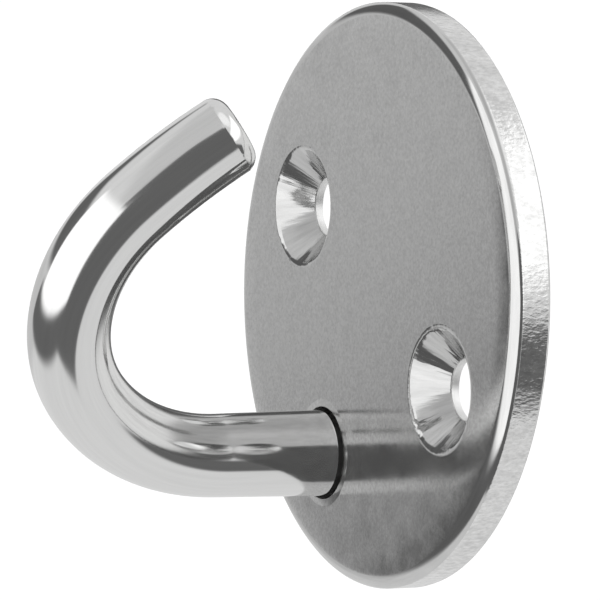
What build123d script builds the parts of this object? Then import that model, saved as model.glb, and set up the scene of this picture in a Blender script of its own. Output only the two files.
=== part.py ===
from build123d import *
from math import degrees
import os

# Plate hook: a round steel plate with two countersunk screw holes, and a round
# bar, bent into an open hook, that passes through a third hole and is welded
# from behind.
#
# Frame: the origin is the centre of the plate's back face, which lies against
# the wall. +Z is up, +X is to the right seen from the room, and the hook stands
# out from the wall towards -Y. Lengths are millimetres and angles degrees.

# Plate
plate_d = 36.0            # across the disc
plate_t = 2.4             # stock thickness
front_round_in = 0.9      # the polished front edge starts this far in from the rim
front_round_deep = 0.5    # and ends this far down the rim
back_edge_round = 0.2     # broken back edge

# Screw holes, side by side at the height of the plate's centre
screw_spacing = 21.0      # centre to centre
screw_hole_d = 3.7        # clears a 3.5 mm countersunk screw
countersink_d = 7.4       # across the mouth, before its edge is rounded
countersink_angle = 90.0  # included
countersink_round = 0.5   # polished edge of the mouth

# Hole for the bar
bar_below_centre = 11.7   # bar axis below the plate's centre
spigot_clearance = 0.42   # bar's spigot to hole wall, on the radius
lip_width = 0.6           # low rounded lip that the front face rises to round the hole
lip_height = 0.08
lip_round = 0.05          # inner edge of the lip
weld_groove = 0.8         # 45 degree groove round the hole at the back

# Bar, with bend radii to its axis. It grows slimmer from the plate to the tip.
spigot_d = 5.0            # turned down to pass through the plate
shoulder_gap = 0.16       # thin open ring between the shoulder and the lip
shoulder_d = 5.4
straight_end_d = 5.18     # at the first bend
bar_d = 5.02              # at the end of the lower bend
tip_d = 4.92
straight_run = 7.5        # from the plate's front face to the first bend
lower_bend_r = 12.75
lower_bend_turn = 50.0
upper_bend_r = 10.6
upper_bend_turn = 79.0
tip_bend_r = 35.0         # the last stretch is almost straight
tip_run = 7.8             # along the axis, from the upper bend to the end face
tip_round = 1.05          # rounded edge of the end face

plate_r = plate_d / 2
spigot_r = spigot_d / 2
bar_hole_r = spigot_r + spigot_clearance
lip_front = -plate_t - lip_height
bar_axis = Axis((0, 0, -bar_below_centre), (0, -1, 0))


# The plate's round edge of one radius about a centre given as x, depth y and z.
def round_edge(plate, x, y, z, radius):
    centre = Vector(x, y, z)
    circles = plate.edges().filter_by(GeomType.CIRCLE)
    found = circles.filter_by(lambda edge: (edge.arc_center - centre).length < 0.001)
    return found.filter_by(lambda edge: abs(edge.radius - radius) < 0.001)


# The disc is turned about Y from a half section, drawn with X as the radius.
def make_plate():
    front = -plate_t
    flat_r = plate_r - front_round_in
    back_r = plate_r - back_edge_round
    rim_front = front + front_round_deep
    round_centre = (flat_r, rim_front)
    front_round = EllipticalCenterArc(round_centre, front_round_in, front_round_deep, 270, arc_size=90)
    back_round = CenterArc((back_r, -back_edge_round), back_edge_round, 0, 90)
    section = make_face(
        [
            Line((0, 0), (0, front)),
            Line((0, front), (flat_r, front)),
            front_round,
            Line((plate_r, rim_front), (plate_r, -back_edge_round)),
            back_round,
            Line((back_r, 0), (0, 0)),
        ]
    )
    plate = revolve(section, axis=Axis.Y)

    drilling = Plane(origin=(0, front, 0), x_dir=(1, 0, 0), z_dir=(0, -1, 0))
    screw_hole = CounterSinkHole(screw_hole_d / 2, countersink_d / 2, plate_t, countersink_angle)
    for x in (-screw_spacing / 2, screw_spacing / 2):
        plate -= drilling * Pos(x, 0) * screw_hole
        plate = fillet(round_edge(plate, x, front, 0, countersink_d / 2), countersink_round)
    plate += make_lip()
    plate -= drilling * Pos(0, -bar_below_centre, lip_height) * Hole(bar_hole_r, plate_t + lip_height)
    plate = fillet(round_edge(plate, 0, lip_front, -bar_below_centre, bar_hole_r), lip_round)
    return chamfer(round_edge(plate, 0, 0, -bar_below_centre, bar_hole_r), weld_groove)


# The lip is solid here and reaches half way into the plate, so that the hole is
# cut through both.
def make_lip():
    inside = -plate_t / 2
    crest = (bar_hole_r, lip_front)
    foot = (bar_hole_r + lip_width, -plate_t)
    section = make_face(
        [
            Line((0, inside), (0, lip_front)),
            Line((0, lip_front), crest),
            EllipticalCenterArc((bar_hole_r, -plate_t), lip_width, lip_height, 270, arc_size=90),
            Line(foot, (foot[0], inside)),
            Line((foot[0], inside), (0, inside)),
        ]
    )
    return revolve(Pos(0, 0, -bar_below_centre) * section, axis=bar_axis)


# The bar stands in front of the plate from its shoulder on. Its path is drawn
# with X as the row's Y and Y as the row's Z, and turns upwards, so its arcs run
# clockwise. A spigot, flush with the plate's back face, carries it.
def make_hook_bar():
    shoulder = lip_front - shoulder_gap
    straight = Line((shoulder, -bar_below_centre), (-plate_t - straight_run, -bar_below_centre))
    lower_bend = JernArc(straight @ 1, straight % 1, lower_bend_r, -lower_bend_turn)
    upper_bend = JernArc(lower_bend @ 1, lower_bend % 1, upper_bend_r, -upper_bend_turn)
    tip = JernArc(upper_bend @ 1, upper_bend % 1, tip_bend_r, -degrees(tip_run / tip_bend_r))
    path = Plane.YZ * (straight + lower_bend + upper_bend + tip)
    bends_start = straight.length / path.length
    upper_start = (straight.length + lower_bend.length) / path.length
    widths = {0: shoulder_d, bends_start: straight_end_d, upper_start: bar_d, 1: tip_d}
    sections = [Plane(origin=path @ at, z_dir=path % at) * Circle(width / 2) for at, width in widths.items()]
    bar = sweep(sections, path=path, multisection=True)
    end_face = bar.faces().filter_by(GeomType.PLANE).sort_by_distance(path @ 1)[0]
    bar = fillet(end_face.edges(), tip_round)
    spigot = Plane(origin=(0, 0, -bar_below_centre), z_dir=(0, -1, 0)) * Circle(spigot_r)
    return bar + extrude(spigot, -shoulder)


# The weld fills the groove behind the plate and is ground flush with it.
def make_rear_weld():
    section = make_face(
        Polyline(
            (spigot_r, 0),
            (bar_hole_r + weld_groove, 0),
            (bar_hole_r, -weld_groove),
            (spigot_r, -weld_groove),
            close=True,
        )
    )
    return revolve(Pos(0, 0, -bar_below_centre) * section, axis=bar_axis)


pieces = {
    "round_plate": make_plate(),
    "hook_bar": make_hook_bar(),
    "rear_weld": make_rear_weld(),
}

os.makedirs("parts", exist_ok=True)
for name, piece in pieces.items():
    export_step(piece, f"parts/{name}.step")
    size = piece.bounding_box()
    print(name, "volume", round(piece.volume, 2), "from", size.min, "to", size.max)
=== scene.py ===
import bpy
from math import atan2, cos, hypot, pi, radians, sin, tan
from mathutils import Matrix, Vector


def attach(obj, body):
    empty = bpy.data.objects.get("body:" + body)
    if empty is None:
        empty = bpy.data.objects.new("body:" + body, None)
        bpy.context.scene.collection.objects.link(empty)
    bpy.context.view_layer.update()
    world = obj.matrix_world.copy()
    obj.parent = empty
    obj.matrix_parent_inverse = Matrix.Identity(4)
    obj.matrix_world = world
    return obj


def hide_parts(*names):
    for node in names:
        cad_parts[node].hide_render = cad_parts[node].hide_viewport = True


# Round wall plate with a bent bar hook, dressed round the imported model.
# Lengths are metres and angles degrees, the wall is at +Y and up is +Z.

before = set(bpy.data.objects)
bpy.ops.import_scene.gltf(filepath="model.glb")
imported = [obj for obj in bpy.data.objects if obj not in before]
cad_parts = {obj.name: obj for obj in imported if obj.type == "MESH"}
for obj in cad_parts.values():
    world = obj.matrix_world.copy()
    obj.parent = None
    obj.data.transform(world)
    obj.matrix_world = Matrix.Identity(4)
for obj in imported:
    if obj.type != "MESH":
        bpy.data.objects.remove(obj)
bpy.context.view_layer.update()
mm = 0.001
print("frame loaded")


# Small helpers for picking and editing

def deselectAll():
    if bpy.context.mode != "OBJECT":
        bpy.ops.object.mode_set(mode="OBJECT")
    bpy.ops.object.select_all(action="DESELECT")


def makeActive(piece):
    deselectAll()
    piece.select_set(True)
    bpy.context.view_layer.objects.active = piece


def startEdit(piece, kind):
    makeActive(piece)
    bpy.ops.object.mode_set(mode="EDIT")
    bpy.ops.mesh.select_mode(type=kind)


def pickEdges(piece, wanted):
    startEdit(piece, "EDGE")
    bpy.ops.mesh.select_all(action="DESELECT")
    bpy.ops.object.mode_set(mode="OBJECT")
    for edge in piece.data.edges:
        edge.select = wanted(edge)
    bpy.ops.object.mode_set(mode="EDIT")


def edgeEnds(piece, edge):
    return [piece.data.vertices[i].co for i in edge.vertices]


def settle(piece, name, body="root"):
    deselectAll()
    makeActive(piece)
    bpy.ops.object.transform_apply(location=True, rotation=True, scale=True)
    piece.name = name
    piece.data.name = name
    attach(piece, body)


# A disc that faces -Y is extruded and scaled from ring to ring, as on a lathe.
# Each ring is (radius, y).
def stackRings(name, x, z, rings, sides):
    deselectAll()
    radius, y = rings[0]
    bpy.ops.mesh.primitive_circle_add(
        vertices=sides, radius=radius, fill_type="NGON", location=(x, y, z), rotation=(pi / 2, 0, 0)
    )
    piece = bpy.context.object
    bpy.ops.object.transform_apply(location=True, rotation=True, scale=True)
    startEdit(piece, "FACE")
    bpy.ops.mesh.select_all(action="SELECT")
    for nextRadius, nextY in rings[1:]:
        bpy.ops.mesh.extrude_region_move(TRANSFORM_OT_translate={"value": (0, nextY - y, 0)})
        bpy.ops.transform.resize(value=[nextRadius / radius] * 3, center_override=(x, nextY, z))
        radius, y = nextRadius, nextY
    bpy.ops.mesh.select_all(action="SELECT")
    bpy.ops.mesh.normals_make_consistent(inside=False)
    bpy.ops.object.mode_set(mode="OBJECT")
    piece.name = name
    return piece


def cutWith(piece, cutter, operation="DIFFERENCE"):
    makeActive(piece)
    cut = piece.modifiers.new("cut", "BOOLEAN")
    cut.operation = operation
    cut.solver = "EXACT"
    cut.object = cutter
    bpy.ops.object.modifier_apply(modifier=cut.name)
    bpy.data.objects.remove(cutter)


def smoothShade(piece, angle):
    makeActive(piece)
    bpy.ops.object.shade_smooth_by_angle(angle=radians(angle))
    weigh = piece.modifiers.new("weigh", "WEIGHTED_NORMAL")
    weigh.keep_sharp = True
    weigh.weight = 80
    bpy.ops.object.modifier_apply(modifier=weigh.name)


# Camera, at the photograph's viewing angle

cameraView = {
    "azimuth": 58.79,
    "elevation": 28.82,
    "roll": 15.84,
    "distance": 255.8 * mm,
    "sensorWide": 36,
    "clip": (0.01, 20),
    "aim": (-2.30 * mm, -5.67 * mm, -1.77 * mm),
    "lens": 248.9,
}


def makeCamera():
    turn, rise = radians(cameraView["azimuth"]), radians(cameraView["elevation"])
    back = Vector((sin(turn) * cos(rise), -cos(turn) * cos(rise), sin(rise)))
    place = Vector(cameraView["aim"]) + back * cameraView["distance"]
    data = bpy.data.cameras.new("photoCamera")
    data.lens = cameraView["lens"]
    data.sensor_width = cameraView["sensorWide"]
    data.clip_start, data.clip_end = cameraView["clip"]
    camera = bpy.data.objects.new("photoCamera", data)
    bpy.context.scene.collection.objects.link(camera)
    turned = back.to_track_quat("Z", "Y").to_matrix() @ Matrix.Rotation(radians(cameraView["roll"]), 3, "Z")
    camera.matrix_world = Matrix.Translation(place) @ turned.to_4x4()
    bpy.context.scene.camera = camera
    bpy.context.scene.view_settings.view_transform = "Standard"
    print("camera placed")


makeCamera()


# Plate

plateSizes = {
    "radius": 18.0 * mm,
    "thickness": 2.4 * mm,
    "roundIn": 0.9 * mm,
    "roundDeep": 0.5 * mm,
    "backRound": 0.2 * mm,
    "backSteps": 3,
    "roundSteps": 14,
    "buffedFrom": 15.6 * mm,  # the buffing wheel has turned the face's outer edge over, from this radius
    "buffedDeep": 0.07 * mm,
    "buffedSteps": 8,
    "sides": 256,
    "sharpFrom": 35,
}

screwSizes = {
    "halfSpacing": 10.5 * mm,
    "holeRadius": 1.85 * mm,
    "mouthRadius": 3.7 * mm,
    "mouthBreak": 0.27 * mm,
    "mouthSteps": 4,
    "landBreak": 0.06 * mm,
    "landSteps": 3,
    "sides": 128,
}

barHoleSizes = {
    "below": 11.7 * mm,
    "radius": 2.92 * mm,
    "lipWidth": 0.48 * mm,
    "lipHeight": 0.05 * mm,
    "lipSteps": 6,
    "lipSwell": 0.3,
    "lipRound": 0.04 * mm,
    "lipRoundSteps": 3,
    "grooveWidth": 0.8 * mm,
    "overshoot": 0.5 * mm,
    "sides": 128,
}


def plateRings():
    s = plateSizes
    rings = []
    for k in range(s["backSteps"] + 1):
        a = pi / 2 * k / s["backSteps"]
        rings.append((s["radius"] - s["backRound"] * (1 - sin(a)), -s["backRound"] * (1 - cos(a))))
    front = -s["thickness"]
    buffedWide = s["radius"] - s["buffedFrom"]

    def buffed(radius):
        return s["buffedDeep"] * ((radius - s["buffedFrom"]) / buffedWide) ** 2

    for k in range(s["roundSteps"] + 1):
        a = pi / 2 * k / s["roundSteps"]
        radius = s["radius"] - s["roundIn"] * (1 - cos(a))
        rings.append((radius, front + s["roundDeep"] * (1 - sin(a)) + buffed(radius)))
    flatRadius = rings[-1][0]
    for k in range(1, s["buffedSteps"] + 1):
        radius = flatRadius + (s["buffedFrom"] - flatRadius) * k / s["buffedSteps"]
        rings.append((radius, front + buffed(radius)))
    return rings


def screwCutterRings():
    s = screwSizes
    front = -plateSizes["thickness"]
    deep = s["mouthRadius"] - s["holeRadius"]
    over = barHoleSizes["overshoot"]
    return [
        (s["holeRadius"], over),
        (s["holeRadius"], front + deep),
        (s["mouthRadius"] + over, front - over),
    ]


def barCutterRings():
    s = barHoleSizes
    front = -plateSizes["thickness"]
    over = s["overshoot"]
    return [
        (s["radius"] + s["grooveWidth"] + over, over),
        (s["radius"], -s["grooveWidth"]),
        (s["radius"], front - over),
    ]


def lipRings():
    s = barHoleSizes
    front = -plateSizes["thickness"]
    foot = s["radius"] + s["lipWidth"]
    rings = [(foot, front / 2)]
    for k in [-1, *range(1, s["lipSteps"] + 1)]:
        t = k / s["lipSteps"]
        rise = s["lipHeight"] * t * (1 + s["lipSwell"] - s["lipSwell"] * t)
        rings.append((foot - s["lipWidth"] * t, front - rise))
    return rings


def ringAt(piece, x, z, radius, y):
    near = 0.01 * mm

    def onRing(edge):
        for co in edgeEnds(piece, edge):
            away = Vector((co.x - x, co.z - z)).length
            if abs(away - radius) > near or abs(co.y - y) > near:
                return False
        return True

    return onRing


def bevelRing(piece, x, z, radius, y, width, segments):
    pickEdges(piece, ringAt(piece, x, z, radius, y))
    bpy.ops.mesh.bevel(offset=width, segments=segments, profile=0.5, affect="EDGES", clamp_overlap=True)
    bpy.ops.object.mode_set(mode="OBJECT")


# Where a point of the plate would lie if the turned surface it is on were unrolled round its own axis,
# for marks that run round the rim or across a countersink
def unroll(co):
    s = screwSizes
    roundMouth, nearest = 1 * mm, 0.001 * mm
    x, z, mean = co.x, co.z, plateSizes["radius"]
    if hypot(abs(co.x) - s["halfSpacing"], co.z) < s["mouthRadius"] + roundMouth:
        x, mean = abs(co.x) - s["halfSpacing"], s["mouthRadius"]
    away = max(hypot(x, z), nearest)
    return Vector((x / away * mean, z / away * mean, away - co.y))


def makePlate():
    plate = stackRings("roundPlate", 0, 0, plateRings(), plateSizes["sides"])
    front = -plateSizes["thickness"]
    s = screwSizes
    for x in (-s["halfSpacing"], s["halfSpacing"]):
        cutWith(plate, stackRings("screwCutter", x, 0, screwCutterRings(), s["sides"]))
    b = barHoleSizes
    cutWith(plate, stackRings("barLip", 0, -b["below"], lipRings(), b["sides"]), "UNION")
    cutWith(plate, stackRings("barCutter", 0, -b["below"], barCutterRings(), b["sides"]))
    for x in (-s["halfSpacing"], s["halfSpacing"]):
        bevelRing(plate, x, 0, s["mouthRadius"], front, s["mouthBreak"], s["mouthSteps"])
        landFront = front + s["mouthRadius"] - s["holeRadius"]
        bevelRing(plate, x, 0, s["holeRadius"], landFront, s["landBreak"], s["landSteps"])
    bevelRing(plate, 0, -b["below"], b["radius"], front - b["lipHeight"], b["lipRound"], b["lipRoundSteps"])
    smoothShade(plate, plateSizes["sharpFrom"])
    settle(plate, "roundPlate")
    unrolled = plate.data.attributes.new("unrolled", "FLOAT_VECTOR", "POINT")
    for vertex, value in zip(plate.data.vertices, unrolled.data):
        value.vector = unroll(vertex.co)
    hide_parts("round_plate")
    print("plate made:", len(plate.data.polygons), "faces")
    return plate


# Bar

barSizes = {
    "spigotRadius": 2.5 * mm,
    "shoulder": -2.64 * mm,
    "shoulderRound": 0.05 * mm,
    "straightEnd": -9.9 * mm,
    "bends": ((12.75 * mm, 50.0), (10.6 * mm, 79.0), (35.0 * mm, 12.769)),
    "radii": ((0.0, 2.70 * mm), (7.26 * mm, 2.59 * mm), (18.39 * mm, 2.51 * mm), (40.81 * mm, 2.46 * mm)),
    "tipRound": 1.05 * mm,
    "sides": 96,
    "stepTurn": 1.5,
    "tipSteps": 8,
    "sharpFrom": 40,
    "straightBelow": 4 * mm,  # above the axis: points behind the straight run's end and higher are the tip's
}


# Radius of the bar at one run along its axis from the shoulder
def barRadius(run):
    radii = barSizes["radii"]
    for (startRun, start), (endRun, end) in zip(radii, radii[1:]):
        if run <= endRun:
            return start + (end - start) * (run - startRun) / (endRun - startRun)
    return radii[-1][1]


# Where a point of the bar would lie if the bar were straight, for polishing lines that follow it
def unbend(co):
    s = barSizes
    place = Vector((s["straightEnd"], -barHoleSizes["below"]))
    heading, run = 0.0, s["shoulder"] - s["straightEnd"]
    point = Vector((co.y, co.z))
    if point.x > place.x and point.y < place.y + s["straightBelow"]:
        return Vector((co.x, point.y - place.y, s["shoulder"] - point.x))
    best = None
    for radius, turn in s["bends"]:
        inward = Vector((sin(heading), cos(heading)))
        centre = place + inward * radius
        away = point - centre
        swept = (atan2(-away.x, -away.y) - heading) % (2 * pi)
        if swept > pi:
            swept -= 2 * pi
        held = min(max(swept, 0.0), radians(turn))
        onAxis = centre - Vector((sin(heading + held), cos(heading + held))) * radius
        miss = (point - onAxis).length
        if best is None or miss < best[0]:
            best = (miss, Vector((co.x, radius - away.length, run + held * radius)))
        heading += radians(turn)
        run += radians(turn) * radius
        place = centre - Vector((sin(heading), cos(heading))) * radius
    return best[1]


def resizeRing(scale, centre):
    bpy.ops.transform.resize(value=[scale] * 3, center_override=centre)


def makeBar():
    s = barSizes
    z = -barHoleSizes["below"]
    deselectAll()
    bpy.ops.mesh.primitive_circle_add(
        vertices=s["sides"], radius=s["spigotRadius"], fill_type="NGON",
        location=(0, 0, z), rotation=(pi / 2, 0, 0)
    )
    bar = bpy.context.object
    bpy.ops.object.transform_apply(location=True, rotation=True, scale=True)
    startEdit(bar, "FACE")
    bpy.ops.mesh.select_all(action="SELECT")
    rings = [
        (s["spigotRadius"], s["shoulder"]),
        (barRadius(0) - s["shoulderRound"], s["shoulder"]),
        (barRadius(0), s["shoulder"] - s["shoulderRound"]),
        (barRadius(s["shoulder"] - s["straightEnd"]), s["straightEnd"]),
    ]
    radius, y = s["spigotRadius"], 0.0
    for nextRadius, nextY in rings:
        bpy.ops.mesh.extrude_region_move(TRANSFORM_OT_translate={"value": (0, nextY - y, 0)})
        resizeRing(nextRadius / radius, (0, nextY, z))
        radius, y = nextRadius, nextY
    place = Vector((0, s["straightEnd"], z))
    heading, run = 0.0, s["shoulder"] - s["straightEnd"]
    for bendRadius, turn in s["bends"]:
        centre = place + Vector((0, sin(heading), cos(heading))) * bendRadius
        steps = max(2, round(turn / s["stepTurn"]))
        for _ in range(steps):
            bpy.ops.mesh.spin(steps=1, angle=radians(turn) / steps, center=centre, axis=(1, 0, 0))
            heading += radians(turn) / steps
            run += radians(turn) / steps * bendRadius
            place = centre - Vector((0, sin(heading), cos(heading))) * bendRadius
            resizeRing(barRadius(run) / radius, place)
            radius = barRadius(run)
    bpy.ops.mesh.select_mode(type="EDGE")
    bpy.ops.mesh.region_to_loop()
    bpy.ops.mesh.bevel(offset=s["tipRound"], segments=s["tipSteps"], profile=0.5, affect="EDGES")
    bpy.ops.mesh.select_all(action="SELECT")
    bpy.ops.mesh.normals_make_consistent(inside=False)
    bpy.ops.object.mode_set(mode="OBJECT")
    smoothShade(bar, s["sharpFrom"])
    settle(bar, "hookBar")
    straightened = bar.data.attributes.new("unbent", "FLOAT_VECTOR", "POINT")
    for vertex, value in zip(bar.data.vertices, straightened.data):
        value.vector = unbend(vertex.co)
    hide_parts("hook_bar")
    print("bar made:", len(bar.data.polygons), "faces")
    return bar


plate = makePlate()
bar = makeBar()
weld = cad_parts["rear_weld"]


# Materials

def newMaterial(name):
    material = bpy.data.materials.new(name)
    material.use_nodes = True
    nodes = material.node_tree.nodes
    return material, nodes, material.node_tree.links, nodes["Principled BSDF"]


def noiseAt(nodes, links, coords, scale, detail, roughness, stretch):
    place = nodes.new("ShaderNodeMapping")
    place.inputs["Scale"].default_value = stretch
    links.new(coords, place.inputs["Vector"])
    noise = nodes.new("ShaderNodeTexNoise")
    noise.inputs["Scale"].default_value = scale
    noise.inputs["Detail"].default_value = detail
    noise.inputs["Roughness"].default_value = roughness
    links.new(place.outputs["Vector"], noise.inputs["Vector"])
    return noise.outputs["Fac"]


def mapRange(nodes, links, value, low, high, outLow, outHigh):
    node = nodes.new("ShaderNodeMapRange")
    links.new(value, node.inputs["Value"])
    node.inputs["From Min"].default_value = low
    node.inputs["From Max"].default_value = high
    node.inputs["To Min"].default_value = outLow
    node.inputs["To Max"].default_value = outHigh
    return node.outputs["Result"]


def bumpFrom(nodes, links, height, depth, under=None):
    bump = nodes.new("ShaderNodeBump")
    bump.inputs["Strength"].default_value = 1.0
    bump.inputs["Distance"].default_value = depth
    links.new(height, bump.inputs["Height"])
    if under:
        links.new(under, bump.inputs["Normal"])
    return bump.outputs["Normal"]


# One steel finish: a grey that varies a little, a roughness range and two layers of relief
finishes = {
    "satinPlateSteel": {
        "grey": (0.49, 0.72), "rough": (0.12, 0.20), "stretch": (1, 1, 1),
        "grain": 0.19 * mm, "grainDepth": 0.0008 * mm, "wave": 1.9 * mm, "waveDepth": 0.006 * mm,
    },
    "polishedEdgeSteel": {
        "follows": "unrolled",
        "grey": (0.58, 0.72), "rough": (0.06, 0.13), "stretch": (0.05, 0.05, 1),
        "grain": 0.16 * mm, "grainDepth": 0.0030 * mm, "wave": 0.9 * mm, "waveDepth": 0.010 * mm,
    },
    "turnedRimSteel": {
        "follows": "unrolled",
        "grey": (0.62, 0.94), "rough": (0.08, 0.18), "stretch": (1, 1, 0.55),
        "grain": 0.23 * mm, "grainDepth": 0.0240 * mm, "wave": 1.2 * mm, "waveDepth": 0.024 * mm,
    },
    "countersinkSteel": {
        "follows": "unrolled",
        "grey": (0.50, 0.68), "rough": (0.06, 0.14), "stretch": (1, 1, 0.14),
        "grain": 0.45 * mm, "grainDepth": 0.014 * mm, "wave": 1.1 * mm, "waveDepth": 0.07 * mm,
    },
    "drilledWallSteel": {
        "grey": (0.84, 0.94), "rough": (0.40, 0.55), "stretch": (1, 1, 1),
        "grain": 0.30 * mm, "grainDepth": 0.003 * mm, "wave": 1.1 * mm, "waveDepth": 0.01 * mm,
    },
    # The bar hole's wall and the groove behind its lip are rough unpolished steel, and their darker grey is
    # painted shade for the narrow gap round the bar.
    "roughHoleWallPaintedShadeSteel": {
        "grey": (0.36, 0.50), "rough": (0.45, 0.65), "stretch": (1, 1, 1),
        "grain": 0.3 * mm, "grainDepth": 0.004 * mm, "wave": 1.5 * mm, "waveDepth": 0.01 * mm,
    },
    "groundBackSteel": {
        "grey": (0.48, 0.60), "rough": (0.28, 0.42), "stretch": (0.04, 1, 1),
        "grain": 0.14 * mm, "grainDepth": 0.003 * mm, "wave": 3.0 * mm, "waveDepth": 0.01 * mm,
    },
    "polishedBarSteel": {
        "follows": "unbent",
        "grey": (0.75, 0.83), "rough": (0.05, 0.12), "stretch": (1, 1, 0.035),
        "grain": 0.33 * mm, "grainDepth": 0.0016 * mm, "wave": 2.0 * mm, "waveDepth": 0.003 * mm,
    },
    "groundWeldSteel": {
        "grey": (0.42, 0.56), "rough": (0.32, 0.48), "stretch": (0.05, 1, 1),
        "grain": 0.13 * mm, "grainDepth": 0.004 * mm, "wave": 1.1 * mm, "waveDepth": 0.02 * mm,
    },
}


# What all the finishes share: how much of the grey comes from each layer, how fine each layer's noise is,
# and the part of the noise that is spread over a range
mottleShares = {"grain": 0.65, "wave": 0.35}
noiseDetail = {"grain": (3, 0.55), "wave": (2, 0.5)}
noiseUsed = (0.3, 0.7)


def makeSteel(name):
    finish = finishes[name]
    material, nodes, links, shader = newMaterial(name)
    shader.inputs["Metallic"].default_value = 1.0
    if "follows" in finish:
        attribute = nodes.new("ShaderNodeAttribute")
        attribute.attribute_name = finish["follows"]
        coords = attribute.outputs["Vector"]
    else:
        coords = nodes.new("ShaderNodeTexCoord").outputs["Object"]
    grain = noiseAt(nodes, links, coords, 1 / finish["grain"], *noiseDetail["grain"], finish["stretch"])
    wave = noiseAt(nodes, links, coords, 1 / finish["wave"], *noiseDetail["wave"], finish["stretch"])
    shade = nodes.new("ShaderNodeMix")
    shade.data_type = "RGBA"
    low, high = finish["grey"]
    warmth = 0.995
    shade.inputs["A"].default_value = (low, low, low * warmth, 1)
    shade.inputs["B"].default_value = (high, high, high * warmth, 1)
    mottle = nodes.new("ShaderNodeMath")
    links.new(mapRange(nodes, links, grain, *noiseUsed, 0, mottleShares["grain"]), mottle.inputs[0])
    links.new(mapRange(nodes, links, wave, *noiseUsed, 0, mottleShares["wave"]), mottle.inputs[1])
    links.new(mottle.outputs[0], shade.inputs["Factor"])
    links.new(shade.outputs["Result"], shader.inputs["Base Color"])
    links.new(mapRange(nodes, links, wave, *noiseUsed, *finish["rough"]), shader.inputs["Roughness"])
    broad = bumpFrom(nodes, links, wave, finish["waveDepth"])
    links.new(bumpFrom(nodes, links, grain, finish["grainDepth"], broad), shader.inputs["Normal"])
    return material


plateFinishes = [
    "satinPlateSteel", "polishedEdgeSteel", "turnedRimSteel", "countersinkSteel", "drilledWallSteel",
    "roughHoleWallPaintedShadeSteel", "groundBackSteel",
]


# Where one finish of the plate ends and the next begins. The slopes are the Y part of a face's normal.
finishBorders = {
    "holeWall": 0.01 * mm,
    "grooveSlope": 0.3,
    "grooveDeep": 0.05 * mm,
    "grooveWithin": 15.4 * mm,
    "wallSlope": 0.1,
    "backSlope": 0.9,
    "rimIn": 0.02 * mm,
    "edgeIn": 0.05 * mm,
}


# Which finish a face of the plate has, by its place
def plateFinishAt(face):
    s, b, screw, edge = plateSizes, barHoleSizes, screwSizes, finishBorders
    c, n = face.center, face.normal
    away = hypot(c.x, c.z)
    inGroove = n.y > edge["grooveSlope"] and c.y < -edge["grooveDeep"] and away < edge["grooveWithin"]
    # The bar hole's wall and groove take the darker steel whose grey paints shade into the gap round the
    # bar.
    if hypot(c.x, c.z + b["below"]) < b["radius"] + edge["holeWall"] or inGroove:
        return "roughHoleWallPaintedShadeSteel"
    if hypot(abs(c.x) - screw["halfSpacing"], c.z) < screw["mouthRadius"] + screw["mouthBreak"]:
        return "drilledWallSteel" if abs(n.y) < edge["wallSlope"] else "countersinkSteel"
    if n.y > edge["backSlope"]:
        return "groundBackSteel"
    if away > s["radius"] - edge["rimIn"]:
        return "turnedRimSteel"
    if away > s["radius"] - s["roundIn"] + edge["edgeIn"]:
        return "polishedEdgeSteel"
    return "satinPlateSteel"


def dressPlate():
    plate.data.materials.clear()
    for name in plateFinishes:
        plate.data.materials.append(makeSteel(name))
    for face in plate.data.polygons:
        face.material_index = plateFinishes.index(plateFinishAt(face))


dressPlate()
bar.data.materials.clear()
bar.data.materials.append(makeSteel("polishedBarSteel"))
weld.material_slots[0].material = makeSteel("groundWeldSteel")
print("finishes set")


# Studio: a pale floor and a pale sky with a few large soft cards

# Each card is (azimuth, elevation, half width, half height, kind), in degrees as seen from the hook.
# Azimuth 0 is straight out from the wall and grows towards +X. Later cards lie over earlier ones.
studioCards = {
    "highCard": (-20, 50, 42, 13, "grey"),
    "lowLeftCard": (-66, -32, 30, 13, "grey"),
    "behindFlag": (-132, -16, 20, 16, "black"),
    "leftFlag": (-62, -2, 24, 14, "black"),
    "underFlag": (0, -41, 46, 11, "black"),
    "rightFlag": (66, 2, 32, 46, "black"),
    "wallFlag": (121, 4, 17, 14, "black"),
    "frontBox": (2, 0, 42, 29, "light"),
    "backBox": (150, 50, 42, 16, "light"),
}
cardLight = {"light": 1.35, "grey": 0.62, "black": 0.14}
studioBase = {
    "sky": 0.76, "paleBackdrop": 1.0, "overhead": 0.3, "overheadFrom": 62, "overheadFull": 75, "softness": 4,
}


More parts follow.
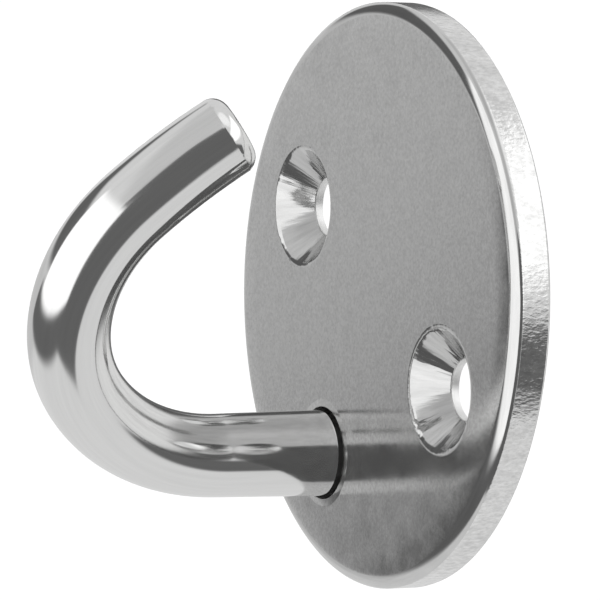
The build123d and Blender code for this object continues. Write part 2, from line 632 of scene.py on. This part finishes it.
def makeSky():
    world = bpy.context.scene.world or bpy.data.worlds.new("studio")
    bpy.context.scene.world = world
    world.use_nodes = True
    nodes, links = world.node_tree.nodes, world.node_tree.links
    nodes.clear()
    direction = nodes.new("ShaderNodeTexCoord").outputs["Generated"]

    def calc(kind, a, b=None):
        node = nodes.new("ShaderNodeMath")
        node.operation = kind
        for socket, value in zip(node.inputs, (a, b)):
            if isinstance(value, (int, float)):
                socket.default_value = value
            elif value is not None:
                links.new(value, socket)
        return node.outputs[0]

    def along(axis):
        node = nodes.new("ShaderNodeVectorMath")
        node.operation = "DOT_PRODUCT"
        links.new(direction, node.inputs[0])
        node.inputs[1].default_value = axis
        return node.outputs["Value"]

    def inside(value, half, soft):
        node = nodes.new("ShaderNodeMapRange")
        node.interpolation_type = "SMOOTHSTEP"
        links.new(calc("ABSOLUTE", value), node.inputs["Value"])
        node.inputs["From Min"].default_value = half - soft
        node.inputs["From Max"].default_value = half + soft
        node.inputs["To Min"].default_value = 1
        node.inputs["To Max"].default_value = 0
        return node.outputs["Result"]

    level, least = studioBase["sky"], 0.001
    soft = tan(radians(studioBase["softness"]))
    for azimuth, elevation, halfWide, halfHigh, kind in studioCards.values():
        a, e = radians(azimuth), radians(elevation)
        ahead = Vector((sin(a) * cos(e), -cos(a) * cos(e), sin(e)))
        right = Vector((cos(a), sin(a), 0))
        depth = along(ahead)
        front = calc("MAXIMUM", depth, least)
        wide = inside(calc("DIVIDE", along(right), front), tan(radians(halfWide)), soft)
        high = inside(calc("DIVIDE", along(ahead.cross(right)), front), tan(radians(halfHigh)), soft)
        mask = calc("MULTIPLY", calc("MULTIPLY", wide, high), calc("GREATER_THAN", depth, least))
        difference = calc("SUBTRACT", cardLight[kind], level)
        level = calc("ADD", level, calc("MULTIPLY", mask, difference))

    overhead = nodes.new("ShaderNodeMapRange")
    overhead.interpolation_type = "SMOOTHSTEP"
    links.new(along((0, 0, 1)), overhead.inputs["Value"])
    overhead.inputs["From Min"].default_value = sin(radians(studioBase["overheadFrom"]))
    overhead.inputs["From Max"].default_value = sin(radians(studioBase["overheadFull"]))
    overhead.inputs["To Max"].default_value = studioBase["overhead"]
    level = calc("ADD", level, overhead.outputs["Result"])

    studio = nodes.new("ShaderNodeBackground")
    links.new(level, studio.inputs["Color"])
    pale = nodes.new("ShaderNodeBackground")
    pale.inputs["Color"].default_value = (1, 1, 1, 1)
    pale.inputs["Strength"].default_value = studioBase["paleBackdrop"]
    seen = nodes.new("ShaderNodeLightPath").outputs["Is Camera Ray"]
    mix = nodes.new("ShaderNodeMixShader")
    links.new(seen, mix.inputs["Fac"])
    links.new(studio.outputs[0], mix.inputs[1])
    links.new(pale.outputs[0], mix.inputs[2])
    out = nodes.new("ShaderNodeOutputWorld")
    links.new(mix.outputs[0], out.inputs["Surface"])


floorSizes = {"drop": 300 * mm, "side": 6.0, "white": 0.95, "lift": 0.25}


def makeFloor():
    deselectAll()
    bpy.ops.mesh.primitive_plane_add(size=floorSizes["side"], location=(0, 0, -floorSizes["drop"]))
    floor = bpy.context.object
    floor.name = "paleFloor"
    bpy.ops.object.transform_apply(location=True, rotation=True, scale=True)
    material, *_, shader = newMaterial("paleFloor")
    shader.inputs["Base Color"].default_value = (floorSizes["white"],) * 3 + (1,)
    shader.inputs["Roughness"].default_value = 1.0
    shader.inputs["Specular IOR Level"].default_value = 0.0
    shader.inputs["Emission Color"].default_value = (1, 1, 1, 1)
    shader.inputs["Emission Strength"].default_value = floorSizes["lift"]
    floor.data.materials.append(material)
    floor.visible_glossy = False


makeSky()
makeFloor()
deselectAll()
print("studio made")
